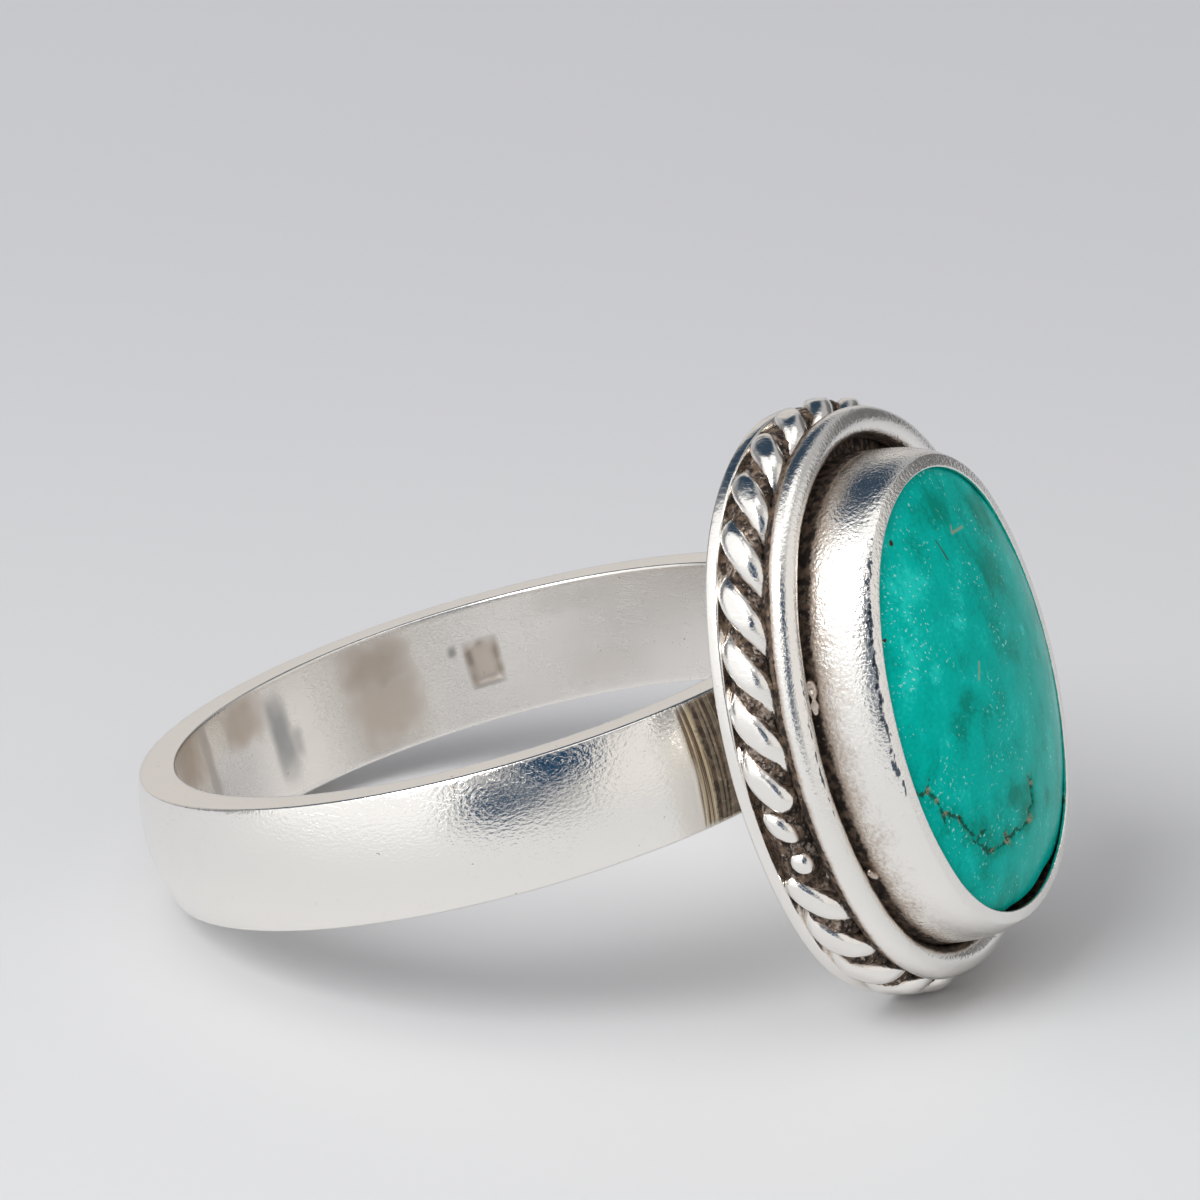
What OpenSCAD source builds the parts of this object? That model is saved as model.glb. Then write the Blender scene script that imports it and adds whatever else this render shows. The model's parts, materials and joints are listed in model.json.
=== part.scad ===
// Gemstone ring: a silver band with an oval turquoise cabochon in a bezel setting.
// Millimetres, +Z up. The ring lies on its side as it rests on a table: it touches the surface at the
// far lower edge of the band and at the low end of the back plate. The origin is on the surface,
// under the middle of the ring.
// The ring is built lying flat, with the finger hole along Z and the head towards +X, and is leaned last.

/* [Band] */
// Inside diameter of the band, about a US size 7
bore_d = 17.5; // [15:0.1:19]
// Width of the band along the finger
band_w = 3.44; // [2.6:0.02:4.2]
// Thickness of the band at its flat side faces
band_edge_t = 0.99; // [0.8:0.01:1.4]
// Rise of the domed outside over its two edges
band_crown = 0.31; // [0.15:0.01:0.5]

/* [Stone] */
// Length of the opening that shows the stone
window_l = 11.9; // [10:0.1:14]
// Width of the opening that shows the stone
window_w = 8.87; // [8.4:0.01:9.6]
// Radius of the two ends of that opening
window_end_r = 3.95; // [3.8:0.01:4.1]
// How far the stone reaches under the lip, all the way round
stone_under_lip = 0.25; // [0.15:0.01:0.3]
// Height of the stone's straight side
stone_side_h = 3.16; // [2.6:0.01:3.2]
// Radius of the dome across the stone
dome_r = 10; // [8:0.5:14]

/* [Setting] */
// Thickness of the back plate
plate_t = 0.36; // [0.3:0.02:0.6]
// How far the back plate reaches past the opening, all the way round
plate_margin = 1.9; // [1.7:0.05:2.1]
// Height of the setting from the back plate's underside to the top of the lip
setting_h = 4.06; // [3.6:0.02:4.6]
// Gap between the stone and the silver beside it
stone_gap = 0.05; // [0.03:0.01:0.08]
// Gap between the stone and the back plate under it
stone_lift = 0.12; // [0.05:0.01:0.15]
// Thickness of the bezel's wall
bezel_t = 0.37; // [0.3:0.01:0.4]
// Width of the lip that is pressed over the stone
lip_w = 0.32; // [0.28:0.01:0.36]
// How far the setting sits below the middle of the band
plate_drop = 0.15; // [0:0.01:0.3]
// How much further down the bezel and the stone sit
bezel_drop = 0.15; // [0:0.01:0.2]

/* [Borders] */
// Radius of the twisted wire
twist_r = 0.68; // [0.6:0.01:0.74]
// Number of whole lobes in the twisted wire
lobe_count = 27; // [20:1:30]
// Length of one lobe
lobe_l = 1.7; // [1.3:0.05:1.9]
// Lean of the lobes from the run of the wire, in degrees
lobe_lean = 37; // [25:1:50]
// Where the wire's two ends meet, along the oval from the low end
joint_at = 33.4; // [32:0.1:35]
// Space between the whole lobes on either side of that joint
joint_space = 3.2; // [2.6:0.1:3.6]
// Radius of the plain wire between the twist and the bezel
plain_r = 0.43; // [0.38:0.01:0.46]

/* [Hidden] */
$fn = 96;
silver = "#c9c7c2";
turquoise = "#12a08f";
bore_r = bore_d / 2;
edge_r = bore_r + band_edge_t;
crown_r = edge_r + band_crown;

// Every oval of the head is four arcs about the same four centres, so all run parallel.
// end_c is how far the end arcs' centres lie from the middle, side_c the side arcs' centres.
end_c = window_l / 2 - window_end_r;
side_flat = window_w / 2 - window_end_r;
side_c = (end_c * end_c - side_flat * side_flat) / (2 * side_flat);
side_more = norm([end_c, side_c]);
end_sweep = 2 * atan2(side_c, end_c);
side_sweep = 180 - end_sweep;

// Sizes across the head are given as the radius of the end arc.
plate_r = window_end_r + plate_margin;
stone_r = window_end_r + stone_under_lip;
wall_in_r = stone_r + stone_gap;
wall_out_r = wall_in_r + bezel_t;
lip_out_r = window_end_r + lip_w;
bend_out = 0.13;
bend_r = lip_out_r + bend_out;

// Heights of the head are above the back plate's underside. The wall leans in over its top stretch,
// bends, and ends in a lip whose outer edge lies a little lower than its inner one.
solder_gap = 0.36;
plate_back = crown_r + solder_gap;
lean_in_h = 1.2;
lip_fall = 0.09;
bend_fall = 0.2;
lip_t = 0.22;
seat_fall = 0.17;
shoulder_h = setting_h - lean_in_h;
lip_out_h = setting_h - lip_fall;
bend_h = lip_out_h - bend_fall;
lip_under = setting_h - lip_t;
lip_seat = lip_under - seat_fall;

// The twisted wire runs on the plate, just inside its rim, sunk a little into its solder.
rim_w = 0.47;
twist_sink = 0.09;
twist_run_r = plate_r - rim_w;
twist_h = plate_t + twist_r - twist_sink;
core_r = 0.5;
core_sides = 8;
lobe_r = 0.35;
lobe_out = twist_r - lobe_r;
lobe_waist = 0.24;
small_lobe = 0.6;
blob_r = 0.7 * lobe_r;
joint_step = joint_space / 6;

// The plain wire lies on the twisted one, next to the bezel, over a seam of solder.
groove_w = 0.2;
plain_sink = 0.16;
plain_run_r = wall_out_r + groove_w + plain_r;
plain_h = twist_h + twist_r + plain_r - plain_sink;
seam_in_r = wall_out_r - bezel_t / 2;
seam_reach = 0.1;
seam_out_r = plain_run_r + seam_reach;
seam_h = 1.26;
groove_h = plate_t + seam_h;

// The solder that joins the band to the plate, with hollow ends.
solder_half = 3.75;
solder_depth = 0.55;
solder_in = bore_r + solder_depth;
solder_inset = 0.12;
solder_w = band_w - 2 * solder_inset;
hollow_r = 0.62;
hollow_back = 0.55;
hollow_side = 0.4;
hollow_in = plate_back - hollow_back;
hollow_out = solder_half + hollow_side;

// The lean at rest lies along the line through the two places that touch the surface.
plate_low = end_c + plate_r + plate_drop;
rest_lean = atan2(plate_low - band_w / 2, plate_back + edge_r);
rest_h = edge_r * sin(rest_lean) + band_w / 2 * cos(rest_lean);
reach_head = (plate_back + lip_out_h) * cos(rest_lean)
           + (end_c + lip_out_r + plate_drop + bezel_drop) * sin(rest_lean);
reach_band = edge_r * cos(rest_lean) + band_w / 2 * sin(rest_lean);
rest_x = (reach_band - reach_head) / 2;

// Run of the wire along half an end arc, and along a side arc.
function half_end_run(r) = r * end_sweep / 2 * PI / 180;
function side_run(r) = (r + side_more) * side_sweep * PI / 180;
function oval_run(r) = 4 * half_end_run(r) + 2 * side_run(r);

// Place on the oval at a run u from its low end: x, y and the direction it faces, in degrees.
function on_arc(cx, cy, r, a) = [cx + r * cos(a), cy + r * sin(a), a];
function on_half(r, u) =
    u < half_end_run(r)
        ? on_arc(end_c, 0, r, u / r * 180 / PI)
    : u < half_end_run(r) + side_run(r)
        ? on_arc(0, -side_c, r + side_more,
                 end_sweep / 2 + (u - half_end_run(r)) / (r + side_more) * 180 / PI)
    : on_arc(-end_c, 0, r,
             180 - end_sweep / 2 + (u - half_end_run(r) - side_run(r)) / r * 180 / PI);
function on_oval(r, u) =
    u < oval_run(r) / 2
        ? on_half(r, u)
    : let (p = on_half(r, u - oval_run(r) / 2)) [-p[0], -p[1], p[2] + 180];

// Carries a profile round the oval. The profile's x is the radius of the end arc.
module round_oval() {
    for (side = [0, 180]) {
        rotate([0, 0, side])
            translate([end_c, 0, 0])
                rotate([0, 0, -end_sweep / 2])
                    rotate_extrude(angle = end_sweep)
                        children();
        rotate([0, 0, side])
            translate([0, -side_c, 0])
                rotate([0, 0, end_sweep / 2])
                    rotate_extrude(angle = side_sweep)
                        translate([side_more, 0])
                            children();
    }
}

// A flat slab with the head's oval outline.
module oval_slab(r, h) {
    tangent_x = end_c + r * cos(end_sweep / 2);
    linear_extrude(h)
        union() {
            for (x = [-end_c, end_c])
                translate([x, 0])
                    circle(r);
            intersection() {
                intersection_for (y = [-side_c, side_c])
                    translate([0, y])
                        circle(r + side_more);
                square([2 * tangent_x, 4 * r], center = true);
            }
        }
}

// Puts a part of the head on the band, with its Z pointing away from the finger.
module on_head(drop) {
    translate([plate_back, 0, -drop])
        rotate([0, 90, 0])
            children();
}

// The flat-sided band with a low dome outside.
module band() {
    dome_arc_r = (band_w * band_w / 4 + band_crown * band_crown) / (2 * band_crown);
    color(silver)
        rotate_extrude()
            intersection() {
                translate([bore_r, -band_w / 2])
                    square([band_edge_t + band_crown, band_w]);
                translate([crown_r - dome_arc_r, 0])
                    circle(dome_arc_r);
            }
}

module solder_joint() {
    color(silver)
        translate([0, 0, -solder_w / 2])
            linear_extrude(solder_w)
                difference() {
                    translate([solder_in, -solder_half])
                        square([plate_back + plate_t / 2 - solder_in, 2 * solder_half]);
                    for (side = [-1, 1])
                        translate([hollow_in, side * hollow_out])
                            circle(hollow_r);
                }
}

module back_plate() {
    color(silver)
        on_head(plate_drop)
            oval_slab(plate_r, plate_t);
}

// One lobe of the twist: a long grain with pointed ends, standing along Z.
module lobe() {
    half = lobe_l / 2;
    waist = lobe_waist * half;
    rotate_extrude()
        polygon([[0, -half], [lobe_r, -waist], [lobe_r, waist], [0, half]]);
}

module on_twist(u, lean) {
    run = oval_run(twist_run_r);
    p = on_oval(twist_run_r, (u + run) % run);
    translate([p[0], p[1], twist_h])
        rotate([0, 0, p[2]])
            translate([lobe_out, 0, 0])
                rotate([lean - 90, 0, 0])
                    children();
}

// Two wires twisted together, soldered on the plate, with the joint where their ends meet.
module twisted_border() {
    whole_run = oval_run(twist_run_r) - joint_space;
    lobe_step = whole_run / (lobe_count - 1);
    color(silver)
        on_head(plate_drop) {
            round_oval()
                translate([twist_run_r, twist_h])
                    polygon([for (k = [0.5 : core_sides]) core_r * [cos(360 / core_sides * k),
                                                                    sin(360 / core_sides * k)]]);
            for (i = [0 : lobe_count - 1])
                on_twist(joint_at + joint_space / 2 + i * lobe_step, lobe_lean)
                    lobe();
            on_twist(joint_at - joint_step, lobe_lean)
                scale(small_lobe)
                    lobe();
            on_twist(joint_at + joint_step, lobe_lean)
                sphere(blob_r);
        }
}

// The plain wire, and the seam of solder that fills the space under it down to the plate.
module plain_border() {
    color(silver)
        on_head(plate_drop)
            round_oval() {
                translate([plain_run_r, plain_h])
                    circle(plain_r);
                translate([seam_in_r, plate_t / 2])
                    square([seam_out_r - seam_in_r, groove_h - plate_t / 2]);
            }
}

// The wall that stands round the stone, with its lip pressed down over the stone's edge.
module bezel() {
    color(silver)
        on_head(plate_drop + bezel_drop)
            round_oval()
                polygon([
                    [wall_in_r, plate_t / 2],
                    [wall_out_r, plate_t / 2],
                    [wall_out_r, shoulder_h],
                    [bend_r, bend_h],
                    [lip_out_r, lip_out_h],
                    [window_end_r, setting_h],
                    [window_end_r, lip_under],
                    [wall_in_r, lip_seat],
                ]);
}

// All the silver is soldered into one piece.
module silver_ring() {
    union() {
        union() {
            band();
            solder_joint();
            back_plate();
            bezel();
            plain_border();
        }
        twisted_border();
    }
}

// The cabochon: a straight side and a low dome over it.
module stone() {
    half_l = end_c + stone_r;
    half_w = stone_r + side_flat;
    dome_drop = sqrt(dome_r * dome_r - half_w * half_w);
    dome_h = dome_r - dome_drop;
    color(turquoise)
        on_head(plate_drop + bezel_drop)
            translate([0, 0, plate_t + stone_lift])
                intersection() {
                    oval_slab(stone_r, stone_side_h + 2 * dome_h);
                    translate([0, 0, stone_side_h - dome_drop])
                        scale([half_l / half_w, 1, 1])
                            sphere(dome_r);
                }
}

// Leans the flat ring into the pose in which it rests.
module at_rest() {
    translate([rest_x, 0, rest_h])
        rotate([0, -rest_lean, 0])
            children();
}

at_rest() silver_ring();
at_rest() stone();
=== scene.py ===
"""A silver ring with an oval turquoise cabochon, finished for close views.

The ring is modelled flat, with its finger hole along Z and its head towards +X, and is then leaned
into the pose in which it lies. Lengths are in metres and angles in radians.
"""
import json
import math

import bmesh
import bpy
from bpy.props import FloatProperty, FloatVectorProperty, IntProperty, PointerProperty
from mathutils import Matrix, Vector, noise


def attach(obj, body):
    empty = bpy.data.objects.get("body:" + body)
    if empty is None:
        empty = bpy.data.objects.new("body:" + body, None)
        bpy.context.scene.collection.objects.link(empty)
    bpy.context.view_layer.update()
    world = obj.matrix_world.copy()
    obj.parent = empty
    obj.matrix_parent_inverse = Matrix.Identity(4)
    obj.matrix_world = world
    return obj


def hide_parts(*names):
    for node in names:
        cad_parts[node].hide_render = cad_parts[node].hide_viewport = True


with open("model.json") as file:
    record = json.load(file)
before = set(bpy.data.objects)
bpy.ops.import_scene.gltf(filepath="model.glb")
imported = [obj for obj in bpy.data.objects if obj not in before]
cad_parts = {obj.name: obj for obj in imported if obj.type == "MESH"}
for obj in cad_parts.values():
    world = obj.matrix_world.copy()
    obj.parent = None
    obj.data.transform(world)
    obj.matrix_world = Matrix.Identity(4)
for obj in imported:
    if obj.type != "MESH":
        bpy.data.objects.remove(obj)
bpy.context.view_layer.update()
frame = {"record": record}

bl_info = {
    "name": "Gemstone Ring",
    "version": (1, 0, 0),
    "blender": (4, 5, 0),
    "location": "3D View > Sidebar > Ring",
    "description": "Makes a silver ring with a turquoise cabochon, and the table it lies on",
    "category": "Object",
}

MM = 0.001
BORE = next(m for m in frame["record"]["mounts"] if m["name"] == "finger_bore")
BORE_CENTRE = Vector(BORE["pos_m"])
REST_LEAN = math.asin(-Vector(BORE["axis"]).normalized().x)
REST = Matrix.Translation(BORE_CENTRE) @ Matrix.Rotation(-REST_LEAN, 4, "Y")
WELD = 1e-7
NOISE_SEED = 1


def length(name, description, default_mm):
    """A size that a user can change, given in millimetres and kept in metres."""
    return FloatProperty(name=name, description=description, default=default_mm * MM,
                         unit="LENGTH", precision=5)


def turn(name, description, default_deg):
    return FloatProperty(name=name, description=description, default=math.radians(default_deg),
                         subtype="ANGLE")


def share(name, description, default):
    return FloatProperty(name=name, description=description, default=default, min=0.0, max=1.0,
                         subtype="FACTOR")


def colour(name, description, default):
    return FloatVectorProperty(name=name, description=description, default=default, size=3,
                               min=0.0, max=1.0, subtype="COLOR")


class BandSizes(bpy.types.PropertyGroup):
    """The band that goes round the finger."""
    bore_r: length("Bore radius", "Inside radius of the band", BORE["dims"]["r_mm"])
    width: length("Width", "Width of the band along the finger", BORE["dims"]["length_mm"])
    edge_t: length("Side thickness", "Thickness at the flat side faces", 0.984)
    crown: length("Crown", "Rise of the domed outside over its edges", 0.305)
    edge_round: length("Edge round", "Rounding of the band's edges", 0.08)
    filed_from: turn("Filed from", "Where the file marks beside the solder start", 21.0)
    filed_to: turn("Filed to", "Where the file marks beside the solder end", 31.0)
    punch_at: turn("Punch place", "Where the punch mark stands inside the band", 122.6)
    punch_w: length("Punch width", "Width of the punch mark along the band", 0.85)
    punch_h: length("Punch height", "Height of the punch mark", 1.2)
    punch_depth: length("Punch depth", "How deep the punch mark is", 0.07)
    solder_gap: length("Solder gap", "Space between the band and the back plate", 0.36)
    solder_half: length("Solder half length", "From the solder's middle to its hollow ends", 3.75)
    solder_hollow: length("Solder hollow", "Radius of the hollow at each end of the solder", 0.62)
    solder_inset: length("Solder inset", "How far the solder sits in from the band's sides", 0.12)


class HeadSizes(bpy.types.PropertyGroup):
    """The oval setting."""
    window_l: length("Window length", "Length of the opening that shows the stone", 11.9)
    window_w: length("Window width", "Width of the opening that shows the stone", 8.87)
    window_end_r: length("Window end", "Radius of the opening's ends", 3.95)
    plate_t: length("Plate thickness", "Thickness of the back plate", 0.36)
    plate_margin: length("Plate margin", "How far the plate reaches past the opening", 1.9)
    plate_drop: length("Plate drop", "How far the setting sits below the band's middle", 0.15)
    bezel_drop: length("Bezel drop", "How much further down the bezel sits", 0.15)
    bezel_h: length("Setting height", "Height from the plate's underside to the lip's top", 4.06)
    bezel_t: length("Bezel thickness", "Thickness of the bezel's wall", 0.37)
    lip_w: length("Lip width", "Width of the lip over the stone", 0.32)
    lip_t: length("Lip thickness", "Thickness of the lip", 0.10)
    lean_from: length("Lean from", "How far below the top the wall starts to lean in", 1.75)
    lean_most: length("Lean most", "How far below the top the wall's curve is pulled", 0.55)
    lip_drop: length("Lip drop", "How far the lip's outer edge lies below its top", 0.09)


class WireSizes(bpy.types.PropertyGroup):
    """The two borders round the bezel."""
    strand_r: length("Strand radius", "Radius of one of the two twisted wires", 0.345)
    fatter: FloatProperty(name="Fatter", description="How much fatter the soldered strands look",
                          default=1.10)
    twist_inset: length("Twist inset", "From the plate's rim to the twist's middle", 0.47)
    twist_sink: length("Twist sink", "How far the twist is sunk in its solder", 0.09)
    lobes: IntProperty(name="Lobes", description="Whole lobes that show in the twist", default=27)
    joint_at: length("Joint place", "Where the wire's ends meet, from the low end", 33.4)
    joint_space: length("Joint space", "Space between the whole lobes at the joint", 3.2)
    lead: length("Lead", "How far a strand runs on past its last whole lobe", 0.42)
    tip: length("Tip", "Length of a strand's rounded tip", 0.3)
    worn: length("Worn face", "How much of the twist's outer face is worn flat", 0.07)
    plain_r: length("Plain radius", "Radius of the plain wire", 0.43)
    groove_w: length("Groove width", "Space between the plain wire and the bezel", 0.2)
    plain_sink: length("Plain sink", "How far the plain wire sinks between twist and bezel", 0.16)
    seam_t: length("Seam thickness", "Height of the solder under the plain wire", 1.26)


class StoneSizes(bpy.types.PropertyGroup):
    """The turquoise cabochon."""
    under_lip: length("Under the lip", "How far the stone reaches under the lip", 0.25)
    play: length("Play", "Space between the stone's side and the bezel's wall", 0.05)
    lift: length("Lift", "Gap between the stone and the back plate", 0.12)
    side_h: length("Side height", "Height of the stone's straight side", 3.325)
    dome_r: length("Dome radius", "Radius of the dome across the stone", 10.0)
    end_gap: length("End gap", "How far the stone falls short of its outline at the low end", 0.34)
    snug: length("Snug", "How much higher the stone sits against the lip on the far side", 0.075)
    girdle: length("Girdle", "How far below the dome's edge the straight side ends", 0.06)
    pit_depth: length("Pit depth", "Depth of the pits along the matrix vein", 0.09)


class Finish(bpy.types.PropertyGroup):
    """Colours and wear."""
    silver: colour("Silver", "Polished silver", (0.93, 0.906, 0.868))
    # The tarnish and crust colours also paint shade: inside the bezel, along the stone on the camera's
    # side, and in the crevice under the plate.
    tarnish: colour("Tarnish", "Dark tarnish in the recesses", (0.016, 0.010, 0.007))
    grime: colour("Grime", "Beige polish residue beside the tarnish", (0.45, 0.34, 0.265))
    brown: colour("Brown stain", "Stains inside the band", (0.47, 0.34, 0.225))
    grey: colour("Grey stain", "Dull streaks inside the band", (0.30, 0.31, 0.32))
    turquoise: colour("Turquoise", "Main colour of the stone", (0.001, 0.465, 0.395))
    turquoise_pale: colour("Pale turquoise", "Pale patches of the stone", (0.015, 0.600, 0.520))
    turquoise_deep: colour("Deep turquoise", "Deep patches of the stone", (0.001, 0.270, 0.205))
    matrix: colour("Matrix", "Dark green vein in the stone", (0.010, 0.085, 0.055))
    matrix_gold: colour("Golden matrix", "Golden specks in the vein", (0.42, 0.38, 0.24))
    crust: colour("Crust", "Brown crust in the tarnish", (0.140, 0.094, 0.064))
    # Painted reflection: a blue-black line painted along the lip's and the plain wire's crests, on the
    # camera's side only.
    painted_reflection: colour("Crest", "Blue-black line along a worn crest", (0.020, 0.045, 0.085))
    worn: colour("Worn silver", "Silver inside the band, dulled by wear", (0.88, 0.85, 0.81))
    filings: colour("File marks", "Golden edges of the file marks", (0.72, 0.60, 0.42))
    chalk: colour("Chalk", "White specks in the stone", (0.34, 0.80, 0.73))
    # Also painted shade: the stone's side below the girdle and, stronger on the camera's side, the band
    # along the lip.
    rim_stain_and_shade: colour("Rim stain", "Brown dirt where the stone meets the lip", (0.055, 0.035, 0.012))
    gloss: colour("Gloss", "Tint of the stone's polish", (0.02, 0.95, 0.90))
    scratches: share("Scratches", "Strength of the fine scratches", 0.5)


class StageLook(bpy.types.PropertyGroup):
    """The table, the light and the camera."""
    floor: colour("Floor", "Colour of the table near the camera", (0.770, 0.770, 0.775))
    # Painted shade: the darker back stands in for the falloff of the main light.
    floor_back_shaded: colour("Floor back", "Colour of the table behind the ring", (0.650, 0.650, 0.675))
    floor_r: length("Floor radius", "Radius of the table", 2500.0)
    tent: colour("Tent", "Main colour of the light tent", (0.45, 0.45, 0.455))
    softbox: FloatProperty(name="Softbox power", description="Power of the main light",
                           default=1.02)
    softbox_w: length("Softbox width", "Width across the round main light", 280.0)
    softbox_away: length("Softbox distance", "From the ring to the main light", 430.0)
    softbox_azimuth: turn("Softbox azimuth", "Where the main light stands round the ring", -18.0)
    softbox_elevation: turn("Softbox elevation", "Height of the main light", 45.0)
    azimuth: turn("Azimuth", "Where the camera stands round the ring", 27.83)
    elevation: turn("Elevation", "Height of the camera over the ring", 23.04)
    distance: length("Distance", "From the camera to the middle of the band", 215.9)
    aim_right: length("Aim right", "How far the camera aims to the right of the band", 2.613)
    aim_up: length("Aim up", "How far the camera aims above the band", 3.651)
    lens: FloatProperty(name="Lens", description="Focal length in millimetres", default=240.0)


class Oval:
    """The head's oval line: four arcs whose centres stay the same for every size of oval."""

    def __init__(self, head):
        self.end_c = head.window_l / 2 - head.window_end_r
        self.side_flat = head.window_w / 2 - head.window_end_r
        self.side_c = (self.end_c ** 2 - self.side_flat ** 2) / (2 * self.side_flat)
        self.side_more = math.hypot(self.end_c, self.side_c)
        self.half_end = math.atan2(self.side_c, self.end_c)
        self.side_sweep = math.pi - 2 * self.half_end

    def arcs(self):
        """Centre, how much wider the arc is than an end arc, and sweep, from the low end round."""
        return (
            ((self.end_c, 0.0), 0.0, self.half_end),
            ((0.0, -self.side_c), self.side_more, self.side_sweep),
            ((-self.end_c, 0.0), 0.0, 2 * self.half_end),
            ((0.0, self.side_c), self.side_more, self.side_sweep),
            ((self.end_c, 0.0), 0.0, self.half_end),
        )

    def run(self, r):
        return sum((r + more) * sweep for _, more, sweep in self.arcs())

    def place(self, r, u):
        """The point at run u on the oval of end radius r, and the direction it faces."""
        u %= self.run(r)
        facing = 0.0
        for (cx, cy), more, sweep in self.arcs():
            arc = (r + more) * sweep
            if u <= arc:
                angle = facing + u / (r + more)
                return Vector((cx + (r + more) * math.cos(angle),
                               cy + (r + more) * math.sin(angle), 0.0)), angle
            u -= arc
            facing += sweep
        return Vector((self.end_c + r, 0.0, 0.0)), 0.0

    def radius_at(self, x, y):
        """End radius of the oval that goes through a point."""
        if abs(math.atan2(abs(y), abs(x) - self.end_c)) < self.half_end:
            return math.hypot(abs(x) - self.end_c, y)
        return math.hypot(x, abs(y) + self.side_c) - self.side_more


def smooth(low, high, x):
    """0 below low, 1 above high, and a smooth step between them."""
    t = min(max((x - low) / (high - low), 0.0), 1.0)
    return t * t * (3 - 2 * t)


def towards(azimuth, elevation):
    """Direction to a place round the ring, as the camera's own azimuth and elevation give it."""
    return Vector((math.sin(azimuth) * math.cos(elevation),
                   -math.cos(azimuth) * math.cos(elevation), math.sin(elevation)))


def verts_in(geom):
    return [g for g in geom if isinstance(g, bmesh.types.BMVert)]


def edges_in(geom):
    return [g for g in geom if isinstance(g, bmesh.types.BMEdge)]


def spun(bm, geom, angle, steps, centre=(0, 0, 0), axis=(0, 0, 1), climb=(0, 0, 0)):
    """Spins verts or edges round an axis, and gives what stands at the end."""
    return bmesh.ops.spin(bm, geom=geom, cent=centre, axis=axis, dvec=climb, angle=angle,
                          steps=steps, use_merge=False, use_normal_flip=False,
                          use_duplicate=False)["geom_last"]


def carry_round(bm, oval, geom, step, r):
    """Spins edges that stand at the oval's low end round a quarter of it, with rings a step
    apart, and mirrors that quarter to all four."""
    low_end, side = oval.arcs()[:2]
    for (centre, more, sweep), part in ((low_end, 1.0), (side, 0.5)):
        count = max(2, round((r + more) * sweep * part / step))
        geom = spun(bm, geom, sweep * part, count, centre=(*centre, 0.0))
    for axis in "XY":
        bmesh.ops.mirror(bm, geom=bm.verts[:] + bm.edges[:] + bm.faces[:], merge_dist=4 * WELD,
                         axis=axis)
    bmesh.ops.remove_doubles(bm, verts=bm.verts, dist=4 * WELD)


def draw_loop(bm, points):
    """Verts joined by edges, in order and back to the first."""
    verts = [bm.verts.new(p) for p in points]
    return verts + [bm.edges.new(pair) for pair in zip(verts, verts[1:] + verts[:1])]


def raise_block(bm, height, bevel):
    """Raises flat faces to a block and rounds the rims of its two ends."""
    top = bmesh.ops.extrude_face_region(bm, geom=bm.faces[:])["geom"]
    bmesh.ops.translate(bm, vec=(0, 0, height), verts=verts_in(top))
    rims = [e for e in bm.edges if e.verts[0].co.z == e.verts[1].co.z]
    bmesh.ops.bevel(bm, geom=rims, offset=bevel, segments=3, profile=0.5, affect="EDGES",
                    material=-1)


def arc_points(centre, r, start, end, steps):
    """Points on an arc, as (across, up) pairs."""
    return [(centre[0] + r * math.cos(start + (end - start) * k / steps),
             centre[1] + r * math.sin(start + (end - start) * k / steps)) for k in range(steps + 1)]


def rounded(corners, steps=3):
    """A profile from corners given as (across, up, rounding radius), each rounded by an arc."""
    points = []
    for i, (x, y, r) in enumerate(corners):
        here = Vector((x, y))
        if not r:
            points.append((x, y))
            continue
        back = Vector(corners[i - 1][:2]) - here
        ahead = Vector(corners[(i + 1) % len(corners)][:2]) - here
        half = back.angle(ahead) / 2
        cut = min(r / math.tan(half), back.length * 0.48, ahead.length * 0.48)
        start, end = here + back.normalized() * cut, here + ahead.normalized() * cut
        for k in range(steps + 1):
            t = k / steps
            points.append(tuple(start * (1 - t) ** 2 + here * 2 * t * (1 - t) + end * t ** 2))
    return points


def roughen(bm, size, depth, seed):
    """Moves the surface in and out by smooth noise: bumps about size wide and depth deep."""
    bm.normal_update()
    shift = Vector((seed * 7.3, seed * 3.1, seed * 1.7))
    moves = [v.normal * (depth * noise.noise(v.co / size + shift)) for v in bm.verts]
    for v, move in zip(bm.verts, moves):
        v.co += move


def mark(bm, name, value_of):
    """Stores a number for each vertex, which a material reads as an attribute."""
    layer = bm.verts.layers.float.get(name) or bm.verts.layers.float.new(name)
    for v in bm.verts:
        v[layer] = value_of(v)


def head_place(drop, band):
    """Carries the head's own frame, with Z away from the finger, on to the flat ring."""
    plate_back = band.bore_r + band.edge_t + band.crown + band.solder_gap
    return Matrix.Translation((plate_back, 0, -drop)) @ Matrix.Rotation(math.pi / 2, 4, "Y")


def finish_piece(bm, name, place, material, node="silver_ring"):
    """Turns a bmesh into a piece of the ring that rides on the body and stands for a CAD node."""
    bmesh.ops.remove_doubles(bm, verts=bm.verts, dist=WELD)
    bmesh.ops.recalc_face_normals(bm, faces=bm.faces)
    bm.transform(REST @ place)
    mesh = bpy.data.meshes.new(name)
    bm.to_mesh(mesh)
    bm.free()
    mesh.shade_smooth()
    piece = bpy.data.objects.new(name, mesh)
    bpy.context.scene.collection.objects.link(piece)
    piece.data.materials.append(bpy.data.materials[material])
    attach(piece, "root")
    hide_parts(node)
    return piece


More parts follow.
